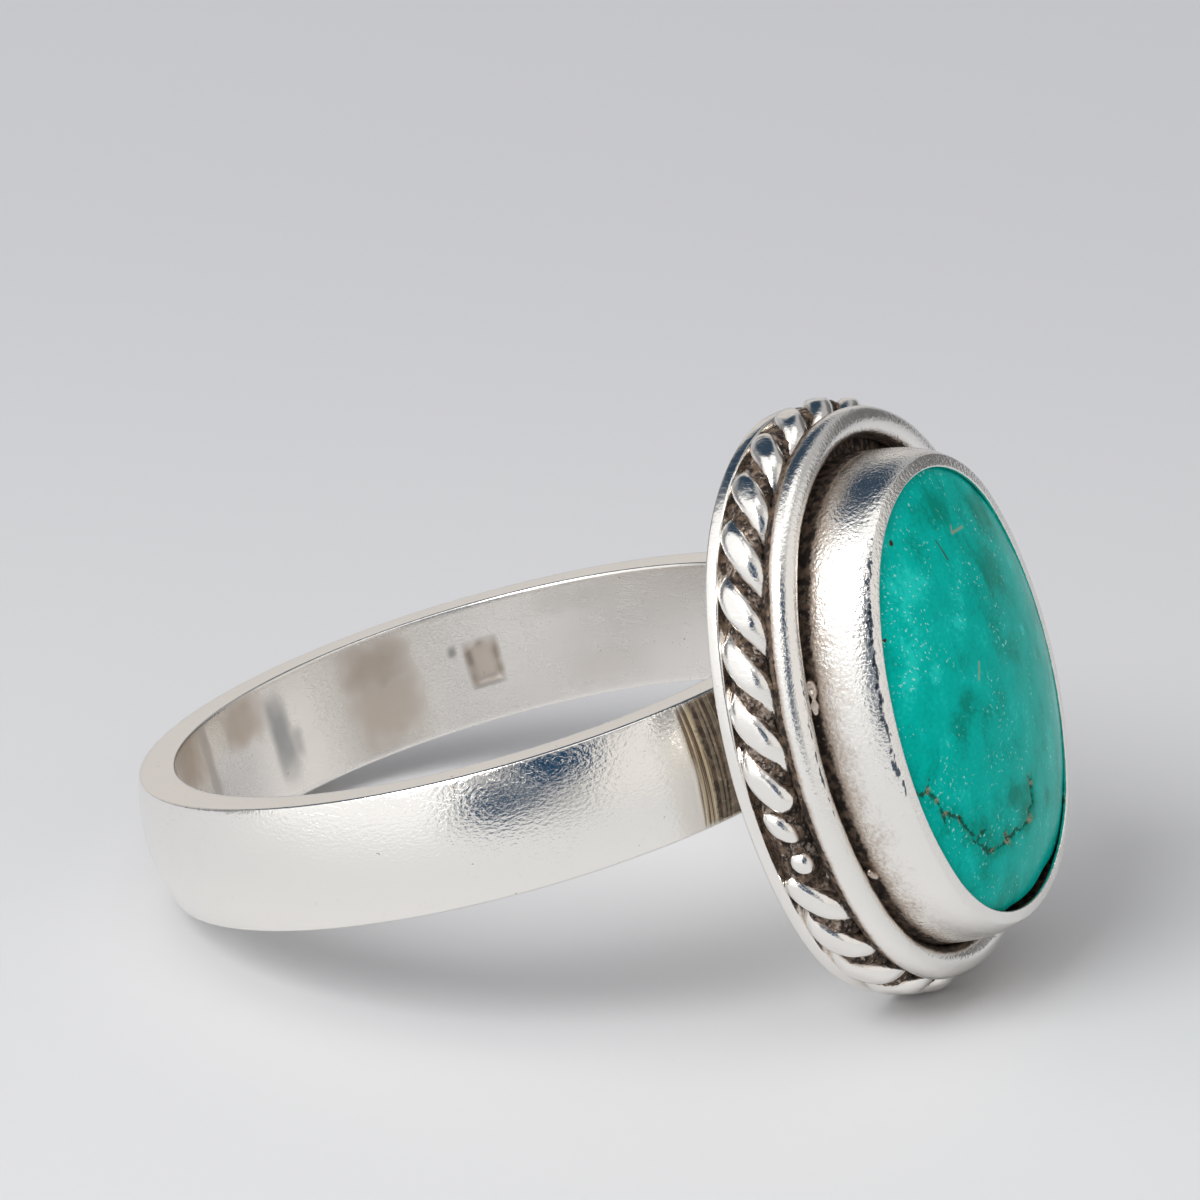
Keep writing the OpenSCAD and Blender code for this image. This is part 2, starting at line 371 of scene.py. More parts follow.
class Head:
    """Radii and heights of the setting, worked out from its sizes."""

    def __init__(self, scene):
        head, wires, stone, band = (scene.ring_head, scene.ring_wires, scene.ring_stone,
                                    scene.ring_band)
        self.oval = Oval(head)
        self.plate_place = head_place(head.plate_drop, band)
        self.bezel_place = head_place(head.plate_drop + head.bezel_drop, band)
        self.window_r = head.window_end_r
        self.plate_r = self.window_r + head.plate_margin
        self.plate_t = head.plate_t
        self.stone_r = self.window_r + stone.under_lip
        self.wall_in_r = self.stone_r + stone.play
        self.wall_out_r = self.wall_in_r + head.bezel_t
        self.twist_r = 2 * wires.strand_r
        self.twist_run_r = self.plate_r - wires.twist_inset
        self.twist_h = head.plate_t + self.twist_r - wires.twist_sink
        self.plain_run_r = self.wall_out_r + wires.groove_w + wires.plain_r
        self.plain_h = self.twist_h + self.twist_r + wires.plain_r - wires.plain_sink
        self.seam_h = head.plate_t + wires.seam_t
        self.lobe_step = (self.oval.run(self.twist_run_r) - wires.joint_space) / (wires.lobes - 1)


def densify(points, step):
    """Adds points along a closed profile's long edges, so that its surface can be roughened."""
    dense = []
    for (x0, y0), (x1, y1) in zip(points, points[1:] + points[:1]):
        count = max(1, round(math.hypot(x1 - x0, y1 - y0) / step))
        dense += [(x0 + (x1 - x0) * k / count, y0 + (y1 - y0) * k / count) for k in range(count)]
    return dense


def lay_map(bm, name, place_of, lap=None):
    """Gives each corner of a face its place on a flat pattern; lap is how long the pattern runs
    round a closed piece before it starts again."""
    layer = bm.loops.layers.uv.new(name)
    for face in bm.faces:
        places = [place_of(loop.vert.co) for loop in face.loops]
        furthest = max(u for u, v in places)
        for loop, (u, v) in zip(face.loops, places):
            loop[layer].uv = (u + lap if lap and furthest - u > lap / 2 else u, v)


# Stains inside the band: place round it from the head, place across it in mm, half their spread
# each way, and how brown and how grey they are.
INNER_STAINS = (
    (142.5, 0.85, 6.5, 0.7, 0.62, 0.16),
    (142.0, -0.35, 7.0, 1.0, 0.45, 0.00),
    (165.5, 0.05, 2.5, 1.15, 0.0, 0.75),
    (162.5, -0.25, 1.6, 0.45, 0.0, 0.45),
    (175.0, 1.05, 6.0, 0.6, 0.55, 0.05),
    (188.0, 0.5, 1.8, 1.5, 0.30, 0.35),
    (199.0, 1.1, 10.0, 0.9, 0.60, 0.0),
    (127.9, 0.53, 0.8, 0.14, 0.2, 0.80),
    (104.0, 1.2, 7.0, 0.35, 0.05, 0.12),
    (101.0, -0.9, 9.0, 0.5, 0.10, 0.05),
    (-140.0, -0.4, 11.0, 0.8, 0.30, 0.10),
    (-95.0, 0.5, 9.0, 0.7, 0.25, 0.10),
)


def stain_at(angle_deg, across, column):
    """How strong the stains are at a place inside the band; the column is the kind of stain."""
    total = 0.0
    warp = noise.noise_vector(Vector((angle_deg * 0.35, across * 2.0, 7.0)))
    for stain in INNER_STAINS:
        round_off = ((angle_deg - stain[0] + 180.0) % 360.0 - 180.0) / stain[2] + 0.25 * warp.x
        across_off = (across - stain[1]) / stain[3] + 0.35 * warp.y
        off = (round_off ** 4 + across_off ** 4) ** 0.25
        total = max(total, stain[column] * (1 - smooth(0.40, 1.4, off)))
    return total


def make_band(scene):
    sizes = scene.ring_band
    half_w = sizes.width / 2
    side_r = sizes.bore_r + sizes.edge_t
    dome_r = (half_w ** 2 + sizes.crown ** 2) / (2 * sizes.crown)
    reach = math.asin(half_w / dome_r)
    dome_steps, quarter_steps, profile_step = 24, 205, 0.1 * MM
    dome = arc_points((side_r + sizes.crown - dome_r, 0.0), dome_r, -reach, reach, dome_steps)
    corners = [(sizes.bore_r, -half_w, sizes.edge_round), (side_r, -half_w, sizes.edge_round)]
    corners += [(x, y, 0) for x, y in dome[1:-1]]
    corners += [(side_r, half_w, sizes.edge_round), (sizes.bore_r, half_w, sizes.edge_round)]
    profile = densify(rounded(corners), profile_step)
    bm = bmesh.new()
    spun(bm, draw_loop(bm, [(x, 0.0, z) for x, z in profile]), math.pi / 2, quarter_steps)
    for quarters in (1, 2):
        copied = bmesh.ops.duplicate(bm, geom=bm.verts[:] + bm.edges[:] + bm.faces[:])["geom"]
        bmesh.ops.rotate(bm, cent=(0, 0, 0), matrix=Matrix.Rotation(quarters * math.pi / 2, 3, "Z"),
                         verts=verts_in(copied))
    bmesh.ops.remove_doubles(bm, verts=bm.verts, dist=4 * WELD)
    bmesh.ops.recalc_face_normals(bm, faces=bm.faces)
    mid_r, side_grain = sizes.bore_r + sizes.edge_t / 2, 0.8

    def unrolled(co):
        """Along the band from the head, and across it and its side faces."""
        angle = math.atan2(-co.y, -co.x) + math.pi
        return angle * mid_r, co.z + side_grain * (math.hypot(co.x, co.y) - sizes.bore_r)

    lay_map(bm, "along", unrolled, lap=2 * math.pi * mid_r)
    mark_band(bm, sizes, side_r)
    roughen(bm, size=1.6 * MM, depth=0.003 * MM, seed=1)
    finish_piece(bm, "band", Matrix.Identity(4), "band_silver")


def mark_band(bm, sizes, side_r):
    """Marks the tarnish, partly painted shade, and file marks beside the solder, the stains inside, and
    the punch mark.
    """
    layers = {name: bm.verts.layers.float.new(name)
              for name in ("recess", "filed", "brown", "grey", "inside", "side")}
    half_w = sizes.width / 2
    for v in bm.verts:
        v[layers["side"]] = float(abs(v.co.z) > half_w - 0.01 * MM)
        r, angle = math.hypot(v.co.x, v.co.y), math.atan2(v.co.y, v.co.x)
        if r > side_r - 0.03 * MM:
            ragged = 0.012 * noise.noise(Vector((angle * 9.0, v.co.z / MM, 3.0)))
            off = abs(angle) + ragged
            inside = smooth(0.0, 0.22 * MM, half_w - abs(v.co.z) + 0.02 * MM)
            v[layers["filed"]] = (1 - smooth(sizes.filed_to - 0.02, sizes.filed_to, off)) * inside
            # Tarnish in the crevice under the plate, with painted shade: the dark stands for both oxide
            # and the shade that falls there.
            middle = (sizes.filed_from + 2 * sizes.filed_to) / 3
            v[layers["recess"]] = (1 - smooth(middle - 0.04, middle + 0.04, off)) * inside
        elif r < sizes.bore_r + 0.02 * MM:
            across, degrees = v.co.z / MM, math.degrees(angle)
            v[layers["inside"]] = 1.0
            ragged = noise.noise(Vector((angle * 22.0, across * 2.5, 6.0)))
            v[layers["brown"]] = stain_at(degrees, across, 4)
            v[layers["grey"]] = stain_at(degrees, across, 5)
            edge = max(abs(angle - sizes.punch_at) * sizes.bore_r - sizes.punch_w / 2,
                       abs(v.co.z) - sizes.punch_h / 2)
            sunk = 1 - smooth(-0.12 * MM, 0.02 * MM, edge)
            by_edge = 1 - smooth(0.01 * MM, 0.20 * MM, abs(edge + 0.06 * MM))
            uneven = 0.35 + 0.65 * smooth(-0.35, 0.25, ragged)
            v[layers["brown"]] = max(v[layers["brown"]], 0.55 * sunk, 1.0 * by_edge * uneven)
            v[layers["grey"]] = max(v[layers["grey"]], 0.55 * by_edge * uneven)
            v.co.xy *= 1 + sunk * sizes.punch_depth / r


def make_solder_joint(scene):
    """The solder between band and plate: a block with hollow ends, filed flat on its side faces."""
    band, head = scene.ring_band, Head(scene)
    plate_back = head.plate_place.translation.x
    inner, sunk, hollow_steps = band.bore_r + 0.55 * MM, 0.1 * MM, 12
    half, half_w, hollow_r = band.solder_half, band.width / 2 - band.solder_inset, band.solder_hollow
    hollow_x, hollow_y = plate_back - 0.55 * MM, half + 0.4 * MM
    reach = math.acos((hollow_y - half) / hollow_r)
    bm = bmesh.new()
    end = arc_points((hollow_x, hollow_y), hollow_r, -math.pi / 2 - reach, -math.pi / 2 + reach,
                     hollow_steps)
    outline = [(inner, half), *end, (plate_back + sunk, half)]
    outline += [(x, -y) for x, y in reversed(outline)]
    geom = draw_loop(bm, [(x, y, -half_w) for x, y in outline])
    bmesh.ops.contextual_create(bm, geom=edges_in(geom))
    raise_block(bm, height=2 * half_w, bevel=0.08 * MM)
    bmesh.ops.triangulate(bm, faces=[f for f in bm.faces if len(f.verts) > 4])
    mark(bm, "recess", lambda v: 1.0)
    finish_piece(bm, "solder_joint", Matrix.Identity(4), "solder_silver")


def make_back_plate(scene):
    """The thin oval plate, dark on top but for its bright rim."""
    head = Head(scene)
    dark_r, rim_r, top = head.plate_r - 0.14 * MM, head.plate_r - 0.04 * MM, head.plate_t * 0.9
    bm = bmesh.new()
    start = bm.verts.new((head.oval.end_c + head.plate_r, 0.0, 0.0))
    carry_round(bm, head.oval, [start], 0.12 * MM, head.plate_r)
    bmesh.ops.contextual_create(bm, geom=bm.edges[:])
    raise_block(bm, height=head.plate_t, bevel=0.07 * MM)
    mark(bm, "recess", lambda v: float(v.co.z > top)
         * (1 - smooth(dark_r, rim_r, head.oval.radius_at(v.co.x, v.co.y))))
    piece = finish_piece(bm, "back_plate", head.plate_place, "plate_silver")
    piece.data.set_sharp_from_angle(angle=math.radians(35))


def bend_round(bm, oval, run_r):
    """Bends a straight border (x along it, y outwards, z up) round the oval."""
    for v in bm.verts:
        point, facing = oval.place(run_r, v.co.x)
        v.co = (point.x + v.co.y * math.cos(facing), point.y + v.co.y * math.sin(facing), v.co.z)


def close_end(bm, loop, along, left):
    """Rounds off an open end of a wire that still has a length left."""
    geom = list(loop)
    for grow, step in ((0.86, 0.45), (0.55, 0.35), (0.2, 0.15)):
        geom = bmesh.ops.extrude_edge_only(bm, edges=edges_in(geom))["geom"]
        verts = verts_in(geom)
        middle = sum((v.co for v in verts), Vector()) / len(verts)
        for v in verts:
            v.co = middle + (v.co - middle) * grow + along * (left * step)
    bmesh.ops.contextual_create(bm, geom=edges_in(geom))


def make_twist_strand(scene, name, phase):
    """One of the two wires: a circle carried along a helix, then bent round the oval."""
    wires, head = scene.ring_wires, Head(scene)
    lead, steps_per_turn = wires.lead, 44
    pitch = 2 * head.lobe_step
    start = wires.joint_at + wires.joint_space / 2 - lead
    total = head.lobe_step * (wires.lobes - 1) + 2 * lead
    steps = round(total / pitch * steps_per_turn)
    slope = math.atan2(2 * math.pi * wires.strand_r, pitch)
    begin = phase - 2 * math.pi * lead / pitch
    place = (Matrix.Rotation(begin, 4, "X") @ Matrix.Translation((0, wires.strand_r, 0))
             @ Matrix.Rotation(math.pi / 2 - slope, 4, "Y"))
    bm = bmesh.new()
    bmesh.ops.create_circle(bm, cap_ends=False, radius=wires.strand_r * wires.fatter, segments=22,
                            matrix=place)
    first = bm.verts[:] + bm.edges[:]
    angle = 2 * math.pi * total / pitch
    last = spun(bm, first, angle, steps, axis=(1, 0, 0), climb=(total / steps, 0, 0))
    tangent = Vector((math.cos(slope), 0, math.sin(slope)))
    for loop, turned, side in ((first, begin, -1), (last, begin + angle, 1)):
        along = Matrix.Rotation(turned, 3, "X") @ tangent
        close_end(bm, [g for g in loop if g.is_valid], along * side, wires.tip)
    limit, left = head.twist_r - wires.worn, 0.2
    for v in bm.verts:
        if v.co.y > limit:
            v.co.y = limit + (v.co.y - limit) * left
    mark(bm, "recess", lambda v: 1 - smooth(0.52, 0.84, math.hypot(v.co.y, v.co.z) / head.twist_r))
    bmesh.ops.translate(bm, vec=(start, 0, head.twist_h), verts=bm.verts)
    bend_round(bm, head.oval, head.twist_run_r)
    bmesh.ops.recalc_face_normals(bm, faces=bm.faces)
    roughen(bm, size=0.55 * MM, depth=0.022 * MM, seed=2 + phase)
    finish_piece(bm, name, head.plate_place, "twist_silver")


def make_twist_fill(scene):
    """The rough solder and dirt that fill the twist between its lobes."""
    wires, head = scene.ring_wires, Head(scene)
    fill_r = wires.strand_r * 1.42
    profile = arc_points((head.twist_run_r, head.twist_h), fill_r, 0, 2 * math.pi, 24)[:-1]
    make_ring_wire(scene, "twist_fill", profile, "fill_silver", head.plate_place, step=0.08 * MM,
                   seed=6, rough=((0.32 * MM, 0.10 * MM), (0.13 * MM, 0.035 * MM)),
                   recess=lambda co: 0.62)


def make_twist_joint(scene):
    """What shows where the twisted wire's two ends meet: a short half lobe and a blob of solder."""
    wires, head = scene.ring_wires, Head(scene)
    third, out = wires.joint_space / 6, head.twist_r * 0.52
    lean = Matrix.Rotation(math.radians(-37), 4, "Y")
    for name, u, up, grow, r in (("joint_lobe", wires.joint_at - third, 0.0, 1.9, 0.30 * MM),
                                 ("joint_blob", wires.joint_at + third, 0.22 * MM, 1.2, 0.29 * MM)):
        bm = bmesh.new()
        stretch = Matrix.Diagonal((grow, 1.0, 1.0, 1.0))
        bmesh.ops.create_uvsphere(bm, u_segments=32, v_segments=20, radius=r,
                                  matrix=lean @ stretch)
        bmesh.ops.translate(bm, vec=(u, out, head.twist_h + up), verts=bm.verts)
        mark(bm, "recess", lambda v: 1 - smooth(0.3, 0.85, v.co.y / head.twist_r))
        bend_round(bm, head.oval, head.twist_run_r)
        roughen(bm, size=0.4 * MM, depth=0.04 * MM, seed=5)
        finish_piece(bm, name, head.plate_place, "twist_silver")


def near_side(co):
    """1 on the side of the head that faces the camera, 0 on the far side, and a soft step between."""
    step = 2.0 * MM
    return 1 - smooth(-step, step, co.y)


def mark_painted_reflection(bm, head, run_r, wide, above, start, end):
    """Marks a painted reflection, a dark line on the camera's side only: along one end radius, above
    one height, between two ends.
    """
    fade_in, fade_out = 0.8 * MM, 1.5 * MM
    mark(bm, "painted_reflection", lambda v: near_side(v.co) * float(v.co.z > above)
         * (1 - smooth(0.0, wide, abs(head.oval.radius_at(v.co.x, v.co.y) - run_r)))
         * smooth(start - fade_in, start, v.co.x) * (1 - smooth(end - fade_out, end, v.co.x)))


def make_ring_wire(scene, name, profile, material, place, step, seed, rough, recess, painted_reflection=None):
    """A profile of the setting, carried round the oval and roughened by bumps of each size and
    depth given."""
    head = Head(scene)
    bm = bmesh.new()
    geom = draw_loop(bm, [(head.oval.end_c + r, 0.0, h) for r, h in profile])
    r = sum(p[0] for p in profile) / len(profile)
    carry_round(bm, head.oval, geom, step, r)
    bmesh.ops.recalc_face_normals(bm, faces=bm.faces)
    mark(bm, "recess", lambda v: recess(v.co))
    # Marks the painted reflection line on the pieces that ask for one.
    if painted_reflection:
        mark_painted_reflection(bm, head, **painted_reflection)
    for size, depth in rough:
        roughen(bm, size, depth, seed)
    finish_piece(bm, name, place, material)


def make_plain_border(scene):
    wires, head = scene.ring_wires, Head(scene)
    profile = arc_points((head.plain_run_r, head.plain_h), wires.plain_r, 0, 2 * math.pi, 28)[:-1]
    low, high = head.plain_h - wires.plain_r, head.plain_h + wires.plain_r

    def recess(co):
        """Dark low on the wire, where it meets the twist and the bezel."""
        return 1 - smooth(0.18, 0.62, (co.z - low) / (high - low))

    # Painted reflection: a dark line along the wire's crest, on the camera's side.
    painted_reflection = {"run_r": head.plain_run_r + 0.10 * MM, "wide": 0.10 * MM, "above": head.plain_h,
             "start": -2 * MM, "end": 3 * MM}
    make_ring_wire(scene, "plain_border", profile, "wire_silver", head.plate_place, step=0.1 * MM,
                   seed=3, rough=((1.4 * MM, 0.02 * MM),), recess=recess, painted_reflection=painted_reflection)


def make_solder_seam(scene):
    """The solder under the plain wire and the twist, down to the plate, dark with tarnish."""
    head = Head(scene)
    in_wall, in_plate, soft = head.wall_out_r - 0.18 * MM, head.plate_t / 2, 0.1 * MM
    corners = [
        (in_wall, in_plate, 0),
        (head.plate_r - 0.28 * MM, in_plate, 0),
        (head.plate_r - 0.30 * MM, head.plate_t + 0.12 * MM, soft),
        (head.twist_run_r + 0.05 * MM, head.twist_h, soft),
        (head.twist_run_r - 0.03 * MM, head.seam_h, soft),
        (in_wall, head.seam_h, 0),
    ]
    make_ring_wire(scene, "solder_seam", densify(rounded(corners), 0.12 * MM), "wire_silver",
                   head.plate_place, step=0.1 * MM, seed=4,
                   rough=((0.5 * MM, 0.05 * MM), (0.2 * MM, 0.02 * MM)),
                   recess=lambda co: 1.0)


# Crumbs of solder left in the groove: place along it in mm from the low end, length and width.
SOLDER_CRUMBS = ((26.6, 0.34, 0.12), (26.95, 0.24, 0.13), (31.9, 0.24, 0.13), (8.3, 0.28, 0.11))


def make_solder_crumbs(scene):
    """The crumbs, each a lumpy grain between the plain wire and the bezel."""
    wires, head = scene.ring_wires, Head(scene)
    groove_r = head.wall_out_r + wires.groove_w * 0.45
    bm = bmesh.new()
    for u, along, across in SOLDER_CRUMBS:
        stretch = Matrix.Diagonal((along * MM, across * MM, across * MM, 1.0))
        low = Matrix.Translation((u * MM, 0.0, head.plain_h + wires.plain_r * 0.72))
        bmesh.ops.create_icosphere(bm, subdivisions=4, radius=1.0, matrix=low @ stretch)
    mark(bm, "recess", lambda v: 0.36)
    roughen(bm, size=0.22 * MM, depth=0.09 * MM, seed=8)
    bend_round(bm, head.oval, groove_r)
    finish_piece(bm, "solder_crumbs", head.plate_place, "twist_silver")


def make_bezel(scene):
    """The wall that leans in over the stone in one smooth curve, and its flat lip."""
    sizes, head = scene.ring_head, Head(scene)
    top = sizes.bezel_h
    lip_out = head.window_r + sizes.lip_w
    start = Vector((head.wall_out_r, top - sizes.lean_from))
    via = Vector((head.wall_out_r, top - sizes.lean_most))
    end = Vector((lip_out, top - sizes.lip_drop))
    steps = 26
    bend = [start * (1 - t) ** 2 + via * 2 * t * (1 - t) + end * t ** 2
            for t in (k / steps for k in range(steps))]
    corners = [(head.wall_in_r, head.plate_t / 2, 0), (head.wall_out_r, head.plate_t / 2, 0)]
    corners += [(*point, 0) for point in bend]
    corners += [
        (*end, 0.06 * MM),
        (head.window_r, top, 0.09 * MM),
        (head.window_r, top - sizes.lip_t, 0.02 * MM),
        (head.wall_in_r, top - sizes.lip_t - 0.17 * MM, 0),
    ]

    def recess(co):
        """Tarnish low on the wall and beside the groove; tarnish along the stone, with painted shade
        that makes it stronger on the camera's side; and painted shade all over the inside.
        """
        r, h = head.oval.radius_at(co.x, co.y), co.z
        low = 1 - smooth(head.seam_h + 0.30 * MM, head.seam_h + 1.22 * MM, h)
        low = max(low, 0.26 * (1 - smooth(head.seam_h + 0.9 * MM, head.seam_h + 2.1 * MM, h)))
        # Tarnish along the stone, with painted shade that makes it stronger on the camera's side.
        by_stone_tarnish_and_shade = (0.12 + 0.30 * near_side(co)) * (1 - smooth(0.0, 0.05 * MM, r - head.window_r))
        # Painted shade: all of the wall's inside below the lip is dark, so the gap between stone and
        # wall looks shadowed.
        inside = r < head.wall_in_r + 0.01 * MM and h < top - sizes.lip_t - 0.02 * MM
        return max(low, by_stone_tarnish_and_shade, float(inside))

    # Painted reflection: a dark line along the lip's outer edge, on the camera's side.
    painted_reflection = {"run_r": lip_out + 0.03 * MM, "wide": 0.12 * MM, "above": top - 0.6 * MM,
             "start": -5 * MM, "end": 2 * MM}
    make_ring_wire(scene, "bezel", densify(rounded(corners, 4), 0.09 * MM), "bezel_silver",
                   head.bezel_place, step=0.085 * MM, seed=5,
                   rough=((2.2 * MM, 0.022 * MM), (0.7 * MM, 0.005 * MM)), recess=recess,
                   painted_reflection=painted_reflection)


# The vein and the patches of the stone, as (along, across) from its middle in millimetres.
VEIN = (
    ((1.32, -4.31), (1.41, -3.89), (1.77, -3.70), (2.14, -3.49), (2.55, -3.01), (3.03, -2.67),
     (3.44, -2.43), (3.82, -2.02), (3.86, -1.81), (3.85, -1.14), (3.78, -0.75), (3.77, 0.13),
     (3.44, 0.07), (3.37, 0.36), (2.70, 0.35)),
    ((1.41, -3.89), (1.11, -3.82)),
    ((2.14, -3.49), (2.41, -3.45)),
    ((3.44, -2.43), (3.18, -2.20)),
    ((3.85, -1.14), (3.63, -1.20)),
)
GOLD = ((1.39, -3.89, 0.12), (1.79, -3.68, 0.09), (2.19, -3.42, 0.10), (2.56, -3.00, 0.12),
        (3.86, -1.81, 0.12), (3.84, -1.14, 0.16), (3.63, -1.20, 0.09), (3.74, 0.13, 0.20),
        (3.46, 0.05, 0.10), (2.66, 0.25, 0.12), (2.84, 0.40, 0.10))
PALE = ((-3.66, -2.50, 0.9), (-2.36, -2.95, 0.9), (-3.56, -1.60, 0.35), (-2.16, -1.14, 0.35),
        (-1.36, -2.70, 0.35), (-1.56, -3.50, 0.45), (-2.46, 2.90, 0.25), (-0.06, -1.76, 0.2),
        (-0.86, 2.00, 0.2), (-2.96, -3.20, 0.9))
DEEP = ((-3.96, 2.50, 1.0), (-2.66, 1.40, 1.0), (-0.26, -1.80, 0.6), (0.19, -2.40, 0.6),
        (3.34, -2.20, 0.7), (3.64, 0.10, 0.6), (2.74, 0.30, 0.5), (3.65, 1.52, 0.4), (2.80, -0.68, 0.4),
        (-4.96, 0.00, 0.8), (-0.66, 1.00, 0.7))
STONE_MARKS = ("vein", "gold", "pale", "deep", "dark_scratch", "pale_scratch", "stain")

# Scratches on the dome, and the brown stains along its edge.
SCRATCHES = {
    "dark_scratch": (((-4.27, -0.58), (-3.70, -0.48)),),
    "pale_scratch": (((-4.35, 0.41), (-4.19, 0.28)), ((-4.19, 0.28), (-4.13, 0.97)),
                     ((-0.99, -0.93), (-0.59, -1.16))),
}
EDGE_STAINS = ((-4.85, -2.14, 0.12), (-2.73, -3.78, 0.10), (4.37, 3.21, 0.2), (1.32, -4.25, 0.12))


def to_segment(p, a, b):
    """Distance from a point to the line between two others."""
    along = b - a
    t = min(max((p - a).dot(along) / along.length_squared, 0.0), 1.0)
    return (p - a - along * t).length


def spots(p, table):
    """How deep a point lies in the nearest of a table's round patches, from 0 to 1."""
    nearest = min(((p.x - x) ** 2 + (p.y - y) ** 2) / r ** 2 for x, y, r in table)
    return 1 - smooth(0.25, 1.0, math.sqrt(nearest))


def make_stone(scene):
    """A straight side and a low dome, in rings that shrink towards the middle."""
    sizes, head = scene.ring_stone, Head(scene)
    oval = head.oval
    base = head.plate_t + sizes.lift
    side_top = base + sizes.side_h
    half_l, half_w = oval.end_c + head.stone_r, head.stone_r + oval.side_flat
    drop = math.sqrt(sizes.dome_r ** 2 - half_w ** 2)
    side_rings, dome_rings, step = 6, 160, 0.064 * MM
    bm = bmesh.new()
    start = bm.verts.new((half_l, 0.0, base))
    carry_round(bm, oval, [start], step, head.stone_r)
    bottom = bm.edges[:]
    edges = bottom

    def dome(x, y):
        inside = sizes.dome_r ** 2 - (x * half_w / half_l) ** 2 - y ** 2
        return side_top - drop + math.sqrt(inside)

    def next_ring(edges, grow, height_of):
        geom = bmesh.ops.extrude_edge_only(bm, edges=edges)["geom"]
        for v in verts_in(geom):
            v.co = (v.co.x * grow, v.co.y * grow, height_of(v.co.x * grow, v.co.y * grow))
        return edges_in(geom)

    def snug(x, y):
        """The dome, pressed up against the lip on the far side."""
        return dome(x, y) + sizes.snug * smooth(1.0 * MM, 4.0 * MM, y)

    girdle = side_top - sizes.girdle
    for k in range(1, side_rings + 1):
        height = base + (girdle - base) * k / side_rings
        edges = next_ring(edges, 1.0, lambda x, y: height)
    for left in range(dome_rings - 1, 0, -1):
        edges = next_ring(edges, left / (left + 1), snug)
    bmesh.ops.pointmerge(bm, verts=list({v for e in edges for v in e.verts}),
                         merge_co=(0.0, 0.0, dome(0, 0)))
    bmesh.ops.contextual_create(bm, geom=bottom)
    # The low end falls short of its outline over the middle of its width
    for v in bm.verts:
        across = 1 - smooth(0.9 * MM, 2.6 * MM, abs(v.co.y - 0.35 * MM))
        v.co.x -= sizes.end_gap * smooth(3.9 * MM, half_l, v.co.x) * across
    bmesh.ops.recalc_face_normals(bm, faces=bm.faces)
    lay_map(bm, "plan", lambda co: (co.x, co.y))
    shade_stone(bm, sizes, head, girdle)
    finish_piece(bm, "cabochon", head.bezel_place, "polished_turquoise", "stone")


def shade_stone(bm, sizes, head, girdle):
    """Marks the vein, patches, scratches and stains on the dome, with painted shade on the stone's side
    and, stronger on the camera's side, along the lip, and sinks the vein's pits.
    """
    layers = {name: bm.verts.layers.float.new(name) for name in STONE_MARKS}
    lines = [(Vector(a), Vector(b)) for line in VEIN for a, b in zip(line, line[1:])]
    scratches = {name: [(Vector(a), Vector(b)) for a, b in table]
                 for name, table in SCRATCHES.items()}
    bm.normal_update()
    for v in bm.verts:
        r = head.oval.radius_at(v.co.x, v.co.y)
        # Painted shade: the stone's side below the girdle is marked fully dark, for the shadowed gap
        # between stone and wall.
        if v.co.z < girdle + 0.01 * MM:
            v[layers["stain"]] = 1.0
            continue
        p = Vector((v.co.x, v.co.y)) / MM
        q = p + noise.noise_vector(Vector((p.x, p.y, 0.0)) * 2.6).xy * 0.09
        q += noise.noise_vector(Vector((p.x, p.y, 4.0)) * 9.0).xy * 0.03
        v[layers["pale"]] = spots(q, PALE)
        v[layers["deep"]] = spots(q, DEEP)
        for name, table in scratches.items():
            v[layers[name]] = 1 - smooth(0.01, 0.05, min(to_segment(p, a, b) for a, b in table))
        # Brown dirt where the stone meets the lip, with painted shade that makes it stronger on the
        # camera's side.
        by_lip_stain_and_shade = smooth(-0.06, -0.01, (r - head.window_r) / MM)
        v[layers["stain"]] = max((0.35 + 0.4 * near_side(v.co)) * by_lip_stain_and_shade, spots(q, EDGE_STAINS))
        v.co += v.normal * (0.010 * MM * noise.noise(Vector((p.x, p.y, 2.0)) * 1.3))
        if p.x < 0.8:
            continue
        near = min(to_segment(q, a, b) for a, b in lines)
        width = 0.035 + 0.05 * max(0.0, noise.noise(Vector((p.x, p.y, 9.0)) * 2.2) + 0.3)
        vein = 1 - smooth(width * 0.3, width * 2.2, near)
        gold = spots(q, GOLD)
        v[layers["vein"]] = vein
        v[layers["gold"]] = gold
        v[layers["deep"]] = max(v[layers["deep"]], 0.9 * (1 - smooth(0.06, 0.45, near)))
        v.co -= v.normal * (sizes.pit_depth * (0.35 * vein + 0.65 * gold * vein))


def add(tree, kind, inputs=None, **settings):
    """Adds a node, sets its options, and gives each input a value or a link."""
    made = tree.nodes.new(kind)
    for key, value in settings.items():
        setattr(made, key, value)
    for key, value in (inputs or {}).items():
        if isinstance(value, bpy.types.NodeSocket):
            tree.links.new(value, made.inputs[key])
        else:
            made.inputs[key].default_value = value
    return made


def new_group(name, vectors, numbers, outputs):
    """A node group that takes vectors and numbers, each number with its default, and puts out
    numbers."""
    tree = bpy.data.node_groups.new(name, "ShaderNodeTree")
    for label in vectors:
        tree.interface.new_socket(name=label, in_out="INPUT", socket_type="NodeSocketVector")
    for label, default in numbers.items():
        made = tree.interface.new_socket(name=label, in_out="INPUT", socket_type="NodeSocketFloat")
        made.default_value = default
    for label in outputs:
        tree.interface.new_socket(name=label, in_out="OUTPUT", socket_type="NodeSocketFloat")
    return tree, tree.nodes.new("NodeGroupInput").outputs, tree.nodes.new("NodeGroupOutput").inputs


def value_range(tree, value, low, high, to_low=0.0, to_high=1.0):
    """A smooth step of a value from one range to another."""
    return add(tree, "ShaderNodeMapRange", {"Value": value, "From Min": low, "From Max": high,
                                            "To Min": to_low, "To Max": to_high},
               interpolation_type="SMOOTHSTEP").outputs["Result"]


